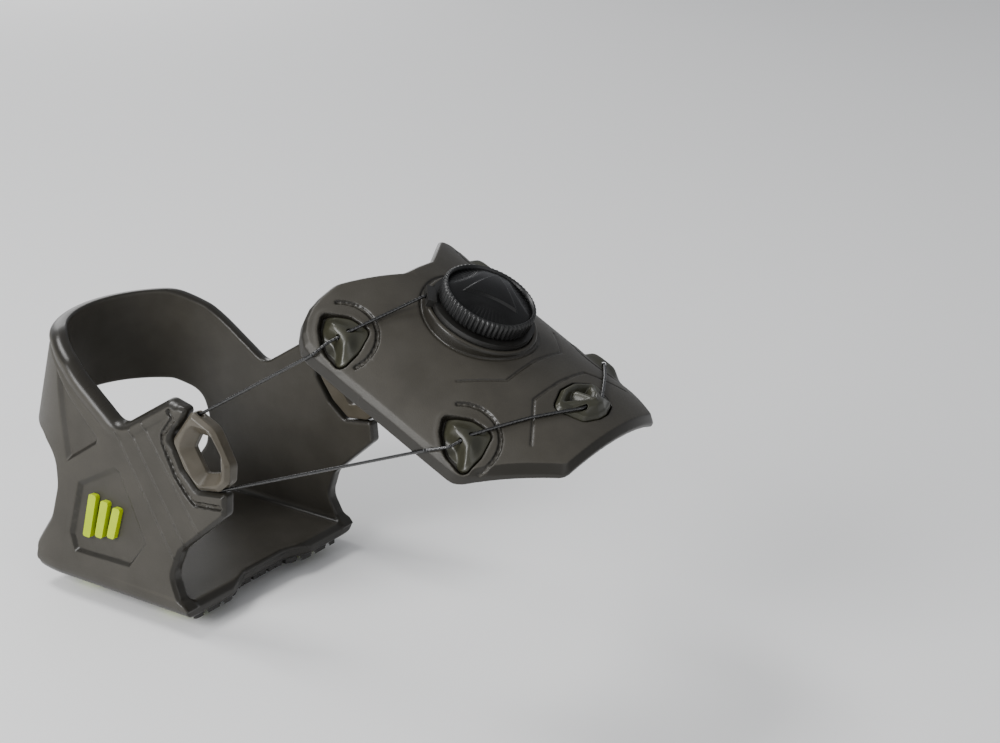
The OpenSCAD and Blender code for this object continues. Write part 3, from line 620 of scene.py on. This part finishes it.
def shield_field(pitch):
    """The shield's right half: arched plate, relief, pockets, dial platform and lace grooves."""
    s, h = axis_points(-36, 56, pitch), axis_points(-27, 2.4, pitch)
    y = -axis_points(0, 43.6, pitch)[::-1]
    gs, gy, gh = np.ix_(s, y, h)
    rise = np.sqrt(gy ** 2 + (gh + ARCH_R) ** 2) - ARCH_R
    plan = outline_distance(rounded(mirrored(SHIELD_PLAN)), s[:, None], y[None, :])
    # Details on the arch, over its length and the distance round it from the crown
    arc = axis_points(0, 56, RELIEF_PITCH)
    u, v = s[:, None], -arc[None, :]
    relief = np.zeros((len(s), len(arc)))
    for centre in (REAR_S, FRONT_S):
        pu, pv = u - centre, v + ARCH_R * TILT
        pocket = outline_distance(rounded(POCKET_PLAN), pu, pv)
        relief += recess(pocket)
        relief += 0.12 * ridge(pocket - 0.9, 0.6)
        ring = np.hypot(pu - ARC_C[0], pv - ARC_C[1])
        angle = np.degrees(np.arctan2(pv - ARC_C[1], pu - ARC_C[0]))
        on_arc = step(-24, -20, angle) * step(142, 138, angle)
        relief -= 0.85 * on_arc * step(0.75, 0.35, np.abs(ring - ARC_R)) * mottled(u, v)
    for chain in DECOR_LINES:
        relief -= 0.45 * ridge(chain_distance(chain, u, v), 0.35)
    relief += recess(outline_distance(rounded(mirrored(GUIDE_PLAN)), u, v))
    relief -= 0.5 * ridge(np.hypot(u, v) - 18.2, 0.45)
    around = ARCH_R * np.arctan2(-gy, gh + ARCH_R)
    relief = lookup(relief.astype(np.float32), 0, around[0])
    top = rise - relief
    edge = plan[:, :, None].astype(np.float32)
    front = step(30, 44, gs)
    body = smax(edge, top, 1.3)
    body = np.maximum(body, (edge + top + 0.9 + 1.1 * front) * MITRE)
    body = smax(body, -(rise + SHIELD_T), 1.2)
    body = np.maximum(body, (edge - rise - SHIELD_T + 1.1) * MITRE)
    # Flat platform under the dial, and the seat its collar sits in
    radius = np.sqrt(gs ** 2 + gy ** 2)
    platform = smax(np.maximum(radius - 17.6, -gh - 4), gh - 0.8, 0.9)
    body = smin(body, platform, 0.3)
    body = smax(body, -np.maximum(radius - 16.0, -gh - 2.2), 0.3)
    body = np.maximum(body, -(radius - 13.1) + 0 * gh)
    for rim, centre in ((REAR_RIM, REAR_S), (FRONT_RIM, FRONT_S)):
        mouth = from_arch(centre, TILT, MOUTH_OUT)
        outer = mouth + (np.array(rim) - mouth) * 1.3
        body = smax(body, -capsule(outer, mouth, 0.85, gs, gy, gh), 0.4)
    return whole(body.astype(np.float32)), (s[0], y[0], h[0])


def shield_outward(points):
    """The direction the arch faces near each point."""
    c, s = math.cos(SLOPE), math.sin(SLOPE)
    off = points - SHIELD_POS
    rise = off[:, 0] * s + off[:, 2] * c + ARCH_R
    length = np.hypot(rise, off[:, 1])
    return np.stack([rise * s, off[:, 1], rise * c], -1) / length[:, None]


points, quads = meshed(shield_field, detail(0.7, 0.34))
shield = mesh_object("moulded_shield", from_shield(points), quads, keep=detail(1, 0.5))
mark_polish_and_shade(shield, shield_outward)
finish_piece(shield, "shield", ["shield"], elastomer)

# ---- Pocket inserts and front guide --------------------------------------------------------------


def insert_field(pitch):
    """A pocket's insert: a ramp over the lace, with a thin curved fin along its outer side."""
    outline = rounded(POCKET_PLAN) * 0.93 + (0.25, 0.3)
    low, high = outline.min(0) - 1, outline.max(0) + 1
    x, y = axis_points(low[0], high[0], pitch), axis_points(low[1], high[1], pitch)
    z = axis_points(-3.2, 4.0, pitch)
    gx, gy, gz = np.ix_(x, y, z)
    edge = outline_distance(outline, x[:, None], y[None, :])[:, :, None]
    # The fin's crest is an arc; across is negative on its outer side
    arc_x, arc_y, arc_r, arc_middle = -2, -7.6, 8.9, math.radians(66)
    across = np.hypot(gx - arc_x, gy - arc_y) - arc_r
    along = arc_r * (np.arctan2(gy - arc_y, gx - arc_x) - arc_middle)
    ends = np.clip(1 - (along / 8.4) ** 2, 0, 1) ** 0.5
    fin = 1.15 * ends * ridge(across - 0.7, 2.1)
    ramp = (1.7 + 1.7 * step(0.2, 4.4, -edge)) * step(-3.6, -0.4, across) * step(9.6, 5.6, along)
    top = -2.1 + ramp + fin - gy ** 2 / (2 * ARCH_R)
    body = smax(smax(edge, (gz - top) * 0.75, 0.5), -gz - 2.5, 0.3)
    lace_in, lace_out = np.array(MOUTH_IN), np.array(MOUTH_OUT)
    run = (lace_in - lace_out) * 1.5
    middle = (lace_in + lace_out) / 2
    body = smax(body, -capsule(middle - run, middle + run, 0.75, gx, gy, gz), 0.2)
    return body.astype(np.float32), (x[0], y[0], z[0])


insert_pitch = detail(0.4, 0.18)
points, quads = meshed(insert_field, insert_pitch)
for centre, row in ((REAR_S, "rear"), (FRONT_S, "front")):
    placed = from_shield(from_arch(centre, TILT, points))
    for side, placed_points, faces in both_sides(placed, quads):
        insert = mesh_object(f"{row}_insert_{side}", placed_points, faces)
        finish_piece(insert, "shield", [f"{row}_pocket_{side}"], pocket_plastic)


def on_arch_run(part):
    """The right-hand lace over the arch, from the guide at part 0 to the front pocket at 1."""
    end = from_arch(FRONT_S, TILT, MOUTH_IN)
    s = GUIDE_S + (end[0] - GUIDE_S) * part
    y = -GUIDE_HALF + (end[1] + GUIDE_HALF) * part
    return np.array([s, y, math.sqrt(ARCH_R ** 2 - y ** 2) - ARCH_R + 0.72])


def guide_field(pitch):
    """The front guide: a flange, a V of wall that the lace bends round, a rib, a hollow behind."""
    centre, clearance = (40.5, 0), 0.965
    outline = (rounded(mirrored(GUIDE_PLAN)) - centre) * clearance + centre
    x, y = axis_points(32, 49, pitch), axis_points(-12.5, 12.5, pitch)
    z = axis_points(-3.6, 4.2, pitch)
    gx, gy, gz = np.ix_(x, y, z)
    edge = outline_distance(outline, x[:, None], y[None, :])[:, :, None]
    off = np.abs(gy)
    wall = [(42.7, -0.1), (42.2, 1.6), (40.7, 4.4), (37.4, 8.2)]
    near = chain_distance(wall, gx, off)
    ahead = gx - np.interp(off, [p[1] for p in wall], [p[0] for p in wall])
    flange = 0.85 * step(0.1, 1.0, -edge)
    hollow = flange - 2.2 * step(1.4, 3.6, -edge)
    cover = flange + 2.1 * np.clip(1 - (gy / 6.6) ** 2, 0, 1) * step(0.7, 3.0, -edge)
    top = hollow + (cover - hollow) * step(-0.7, 0.3, ahead)
    crest = np.interp(off, [0, 4.4, 8.4], [2.7, 2.1, 0.4])
    top = smax(top, crest - 1.2 * (near / 1.15) ** 2, 0.9)
    rib = np.interp(gx, [37.4, 42.8], [1.0, 3.2]) + 0 * gy
    past_rib = np.maximum(37.6 - gx, 0) + np.maximum(gx - 42.8, 0)
    top = smax(top, rib - 0.9 * (np.hypot(gy, past_rib) / 1.2) ** 2, 0.7)
    top = np.maximum(top, -2.2) + np.sqrt(ARCH_R ** 2 - gy ** 2) - ARCH_R
    body = smax(smax(edge, (gz - top) * 0.75, 0.5), -gz - 2.6 - gy ** 2 / (2 * ARCH_R), 0.3)
    for way in (1, -1):
        mirror = np.array([1, way, 1])
        mouth, beyond = np.array(GUIDE_MOUTH) * mirror, on_arch_run(0.4) * mirror
        body = smax(body, -capsule(GUIDE_MIDDLE, mouth, 0.75, gx, gy, gz), 0.2)
        body = smax(body, -capsule(mouth, beyond, 0.8, gx, gy, gz), 0.2)
    return body.astype(np.float32), (x[0], y[0], z[0])


points, quads = meshed(guide_field, insert_pitch)
front_guide = mesh_object("front_insert_middle", from_shield(points), quads)
finish_piece(front_guide, "shield", ["front_guide"], pocket_plastic)

# ---- Lace guides in the cup ----------------------------------------------------------------------


def turn_point(angle):
    """A point of the lace's turn in the wall's frame, at an angle in degrees."""
    a = math.radians(angle)
    return (TURN_C[0] + TURN_R * math.cos(a), TURN_C[1] + TURN_R * math.sin(a), LACE_IN)


def lace_guide_field(pitch):
    """A guide in the wall's frame: an outline with a flared window and the lace's channel."""
    x, y, z = axis_points(26, 52, pitch), axis_points(39, 67, pitch), axis_points(-5, 2, pitch)
    gx, gy, gz = np.ix_(x, y, z)
    edge = outline_distance(rounded(GUIDE_OUTLINE), x[:, None], y[None, :])[:, :, None]
    hole = outline_distance(rounded(GUIDE_WINDOW), x[:, None], y[None, :])[:, :, None]
    crown = 1.2 - 0.35 * step(36, 50, gx)
    body = smax(edge, gz - crown, 0.3)
    body = np.maximum(body, (edge + gz - crown + 1.3) * MITRE)
    body = smax(body, -(gz + 4.1), 0.6)
    # The window flares outward on flat facets above a straight throat
    body = smax(body, -(hole - np.clip((gz + 2.0) * 0.95, -0.3, 3.2)) * 0.75, 0.15)
    ring = np.sqrt((np.hypot(gx - TURN_C[0], gy - TURN_C[1]) - TURN_R) ** 2 + (gz - LACE_IN) ** 2)
    body = smax(body, -(ring - 0.8), 0.4)
    for angle, way in ((TURN_FROM, 1), (TURN_TO, -1)):
        a = math.radians(angle)
        at, straight = np.array(turn_point(angle)), 12
        out = at + way * straight * np.array([math.sin(a), -math.cos(a), 0])
        body = smax(body, -capsule(at, out, 0.9, gx, gy, gz), 0.4)
    return body.astype(np.float32), (x[0], y[0], z[0])


points, quads = meshed(lace_guide_field, detail(0.5, 0.24))
for side, placed_points, faces in both_sides(from_wall(points), quads):
    guide = mesh_object(f"moulded_guide_{side}", placed_points, faces)
    finish_piece(guide, "heel_cup", [f"lace_guide_{side}"], guide_plastic)

# ---- Lace ----------------------------------------------------------------------------------------


def wire(name, path):
    """A stranded wire along a path, with its strands twisted once every LAY mm."""
    path = np.asarray(path, float)
    length = np.concatenate([[0], np.cumsum(np.linalg.norm(np.diff(path, axis=0), axis=1))])
    count = max(2, int(length[-1] / LACE_STEP))
    at = np.linspace(0, length[-1], count + 1)
    centre = np.stack([np.interp(at, length, path[:, k]) for k in range(3)], 1)
    tangent = np.gradient(centre, axis=0)
    tangent /= np.linalg.norm(tangent, axis=1)[:, None]
    unlike_any_run = (0.31, 0.2, 0.93)
    side = np.cross(tangent, unlike_any_run)
    side /= np.linalg.norm(side, axis=1)[:, None]
    up = np.cross(side, tangent)
    around = np.arange(STRANDS * 3) / (STRANDS * 3) * 2 * math.pi
    radius = LACE_R * (0.93 + 0.07 * np.cos(around * STRANDS))
    twist = at[:, None] / LAY * 2 * math.pi + around[None]
    ring = (centre[:, None] + radius[None, :, None] * (np.cos(twist)[..., None] * side[:, None]
                                                        + np.sin(twist)[..., None] * up[:, None]))
    n, m = ring.shape[:2]
    index = np.arange(n * m).reshape(n, m)
    a, b = index[:-1], index[1:]
    quads = np.stack([a, np.roll(a, -1, 1), np.roll(b, -1, 1), b], -1).reshape(-1, 4)
    points = np.vstack([ring.reshape(-1, 3), centre[:1], centre[-1:]])
    first, last = n * m, n * m + 1
    fans = [(first, index[0, (k + 1) % m], index[0, k]) for k in range(m)]
    fans += [(last, index[-1, k], index[-1, (k + 1) % m]) for k in range(m)]
    mesh = bpy.data.meshes.new(name)
    mesh.from_pydata((points * MM).tolist(), [], quads.tolist() + fans)
    mesh.polygons.foreach_set("use_smooth", np.ones(len(mesh.polygons), bool))
    obj = bpy.data.objects.new(name, mesh)
    bpy.context.collection.objects.link(obj)
    return obj


def softened(path, reach=0.8, steps=4):
    """The chain with each corner turned into a short curve."""
    path = [np.array(p, float) for p in path]
    out = [path[0]]
    for before, here, after in zip(path, path[1:], path[2:]):
        a = here + (before - here) * min(0.45, reach / np.linalg.norm(before - here))
        b = here + (after - here) * min(0.45, reach / np.linalg.norm(after - here))
        out += [(1 - t) ** 2 * a + 2 * t * (1 - t) * here + t * t * b
                for t in np.linspace(0, 1, steps)]
    return np.array(out + [path[-1]])


def off_coil(side, along):
    """A point on the lace's tangent off the coil, in the shield's frame."""
    port = np.array(PORT[:2]) * (1, side)
    a = math.atan2(port[1], port[0]) + math.acos(COIL_R / np.hypot(*port))
    return (COIL_R * math.cos(a) + along * math.sin(a), COIL_R * math.sin(a) - along * math.cos(a),
            -0.8 + side * 0.53)


SIDES = ((1, "right"), (-1, "left"))
turn = from_wall([turn_point(a) for a in np.linspace(TURN_FROM, TURN_TO, 40)])
mouth_in, mouth_out = from_arch(REAR_S, TILT, MOUTH_IN), from_arch(REAR_S, TILT, MOUTH_OUT)
front_in, front_out = from_arch(FRONT_S, TILT, MOUTH_IN), from_arch(FRONT_S, TILT, MOUTH_OUT)
for side, name in SIDES:
    mirror = (1, side, 1)
    loop = wire(f"lace_turn_{name}", turn * mirror)
    finish_piece(loop, "heel_cup", [f"guide_lace_{name}"], lace_metal)
    for row, start, end in (("upper", turn[0], REAR_RIM), ("lower", turn[-1], FRONT_RIM)):
        ends = np.array([start, from_shield(end)]) * mirror
        span = wire(f"{row}_span_{name}", ends)
        span.data.materials.append(lace_metal)
        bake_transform(span)
        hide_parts(f"{row}_lace_{name}")

runs = []
for side, name in SIDES:
    mirror = (1, side, 1)
    entry = np.array([off_coil(side, 4.2), off_coil(side, 8.8), (PORT[0], side * PORT[1], PORT[2])])
    rear = np.array([mouth_in, mouth_out, REAR_RIM]) * mirror
    over_arch = [on_arch_run(part) for part in (0.75, 0.5, 0.25)]
    front = np.array([FRONT_RIM, front_out, front_in, *over_arch, GUIDE_MOUTH,
                      GUIDE_MIDDLE]) * mirror
    runs.append(wire(f"rear_run_{name}", from_shield(softened(np.vstack([entry, rear])))))
    runs.append(wire(f"front_run_{name}", from_shield(softened(front))))
for run in runs:
    finish_piece(run, "shield", ["shield_lace"], lace_metal)
coil = [(COIL_R * math.cos(a), COIL_R * math.sin(a), z) for z in COIL_LAYERS
        for a in np.linspace(0, 2 * math.pi, 48)]
wound = wire("lace_coil", from_shield(coil))
finish_piece(wound, "spool", ["wound_lace"], lace_metal)

# ---- Dial ----------------------------------------------------------------------------------------


def revolved(name, profile, sectors, shape):
    """A closed profile turned about the dial's axis; shape moves its points by angle."""
    profile = np.asarray(profile, float)
    angle = np.arange(sectors) / sectors * 2 * math.pi
    r, z = profile[None, :, 0] + 0 * angle[:, None], profile[None, :, 1] + 0 * angle[:, None]
    r, z = shape(r, z, angle[:, None])
    points = np.stack([r * np.cos(angle)[:, None], r * np.sin(angle)[:, None], z], -1)
    index = np.arange(sectors * len(profile)).reshape(sectors, len(profile))
    after = np.roll(index, -1, 0)
    quads = np.stack([index, after, np.roll(after, -1, 1), np.roll(index, -1, 1)], -1)
    return mesh_object(name, from_shield(points.reshape(-1, 3)), quads.reshape(-1, 4))


def rib_wave(angle):
    """The knob's rounded ribs, from 0 in the valleys to 1 on the crests."""
    return (0.5 + 0.5 * np.cos(angle * RIBS)) ** 0.6


grip_profile = [(13.25, GRIP_LOW), (13.9, GRIP_LOW), (14.3, GRIP_LOW + 0.25),
                (KNOB_R, GRIP_LOW + 0.7), (KNOB_R, 5.4), (KNOB_R, GRIP_HIGH - 1.1),
                (14.3, GRIP_HIGH - 0.55), (13.95, GRIP_HIGH - 0.15), (13.5, GRIP_HIGH),
                (13.25, GRIP_HIGH)]


def grip_shape(r, z, angle):
    """Valleys cut between the ribs, in the outer face only."""
    outer = step(13.4, 14.2, r)
    return r - 0.55 * outer * (1 - rib_wave(angle)), z


grip = revolved("ribbed_grip", grip_profile, RIBS * 8, grip_shape)
finish_piece(grip, "knob", ["knob_grip"], grip_rubber)

cap_radii = np.concatenate([np.linspace(0.02, 12.6, 52), [12.85, 13.05, 13.15, CAP_R, CAP_R]])


def cap_height(r, angle):
    """Domed top with three scoops that leave a raised three-cornered island."""
    dome_r, scoop_out, scoop_up, scoop_r = 29.6, 15.5, 18.3, 12
    dome = CAP_TOP - r ** 2 / (2 * dome_r)
    turned = angle % (2 * math.pi / 3) - math.pi / 3
    out = r * np.cos(turned)
    off = np.clip(out, 3.5, scoop_out) - scoop_out
    scoop = scoop_up - np.sqrt(np.clip(scoop_r ** 2 - off ** 2, 0, None))
    top = smin(dome - 0.75 * step(4.3, 5.1, out), scoop, 0.4)
    low = step(0.8, 1.7, dome - top)
    return top + 0.26 * low * step(5.5, 7, r) * rib_wave(angle)


def cap_shape(r, z, angle):
    """The cap's upper points moved to its top, and its rim's a little lower."""
    return r, np.where(z > 5, cap_height(r, angle) - np.where(r > 13.1, 0.12, 0), z)


cap_bottom = 4.62
cap_profile = [(r, 9.0) for r in cap_radii[:-1]] + [(CAP_R, cap_bottom), (0.02, cap_bottom)]
cap = revolved("scooped_cap", cap_profile, RIBS * 6, cap_shape)
finish_piece(cap, "knob", ["knob_cap"], gloss_cap)

# ---- CAD nodes that stay, with their materials ---------------------------------------------------

KEPT = {"tread": tread_rubber, "stud_sockets": steel, "stud_collars": lime, "stud_cores": steel,
        "stud_tips": carbide, "badge_right": lime, "badge_left": lime, "dial_base": housing_plastic,
        "axle_screw": steel, "spool": housing_plastic, "lift_clip": steel,
        "knob_core": housing_plastic, "pawl_ring": housing_plastic}
WELD, SHARP = 0.000005, math.radians(35)
BEVELS = {"tread": 0.00018, "stud_collars": 0.00025, "badge_right": 0.0004, "badge_left": 0.0004,
          "dial_base": 0.00025, "stud_cores": 0.00015}
for node, material in KEPT.items():
    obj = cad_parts[node]
    obj.data.materials.clear()
    obj.data.materials.append(material)
    if node in BEVELS:
        weld = obj.modifiers.new("weld", "WELD")
        weld.merge_threshold = WELD
        bevel = obj.modifiers.new("bevel", "BEVEL")
        bevel.width, bevel.segments, bevel.limit_method = BEVELS[node], 2, "ANGLE"
        bevel.angle_limit = SHARP
        bevel.harden_normals = False

# ---- Floor, light and camera ---------------------------------------------------------------------

FLOOR_HALF = 3.0
WORLD_COLOUR, WORLD_STRENGTH = (0.93, 0.95, 1.0, 1), 0.42
MIDDLE = (0.05, 0.0, 0.05)
# Each light's place, size in metres and power in watts
LIGHTS = {"key": ((-0.15, -1.0, 0.6), 0.6, 15), "top": ((-0.5, -0.1, 1.0), 0.35, 6),
          "fill": ((1.0, -0.3, 0.5), 0.7, 2), "back": ((-0.9, 0.75, 0.35), 0.6, 2.5)}
CAMERA_AT, LENS, SENSOR, CLIP = (0.4688, -0.4951, 0.3129), 79.9, 36.0, (0.01, 20)
AZIMUTH, ELEVATION = math.radians(34.9), math.radians(20.63)

floor_z = CAD_BOX[0][2]
mesh = bpy.data.meshes.new("floor")
mesh.from_pydata([(x * FLOOR_HALF, y * FLOOR_HALF, floor_z)
                  for x, y in ((-1, -1), (1, -1), (1, 1), (-1, 1))], [], [(0, 1, 2, 3)])
floor = bpy.data.objects.new("floor", mesh)
bpy.context.collection.objects.link(floor)
paper = Shader("paper")
mesh.materials.append(paper.done(Base_Color=colour(0.86, 0.86, 0.855),
                                 Roughness=paper.ramp(paper.noise(60, 3), 0.3, 0.7, 0.85, 0.95)))

world = bpy.data.worlds.new("studio")
bpy.context.scene.world = world
world.use_nodes = True
background = world.node_tree.nodes["Background"].inputs
background["Color"].default_value = WORLD_COLOUR
background["Strength"].default_value = WORLD_STRENGTH

for name, (position, size, power) in LIGHTS.items():
    light = bpy.data.lights.new(name, "AREA")
    light.size, light.energy = size, power
    obj = bpy.data.objects.new(name, light)
    obj.location = position
    obj.rotation_euler = (Vector(MIDDLE) - Vector(position)).to_track_quat("-Z", "Y").to_euler()
    bpy.context.collection.objects.link(obj)

camera_data = bpy.data.cameras.new("camera")
camera_data.lens, camera_data.sensor_width = LENS, SENSOR
camera_data.clip_start, camera_data.clip_end = CLIP
camera = bpy.data.objects.new("camera", camera_data)
back = Vector((math.sin(AZIMUTH) * math.cos(ELEVATION), -math.cos(AZIMUTH) * math.cos(ELEVATION),
               math.sin(ELEVATION)))
camera.location = CAMERA_AT
camera.rotation_euler = back.to_track_quat("Z", "Y").to_euler()
bpy.context.collection.objects.link(camera)
bpy.context.scene.camera = camera

bpy.context.view_layer.update()
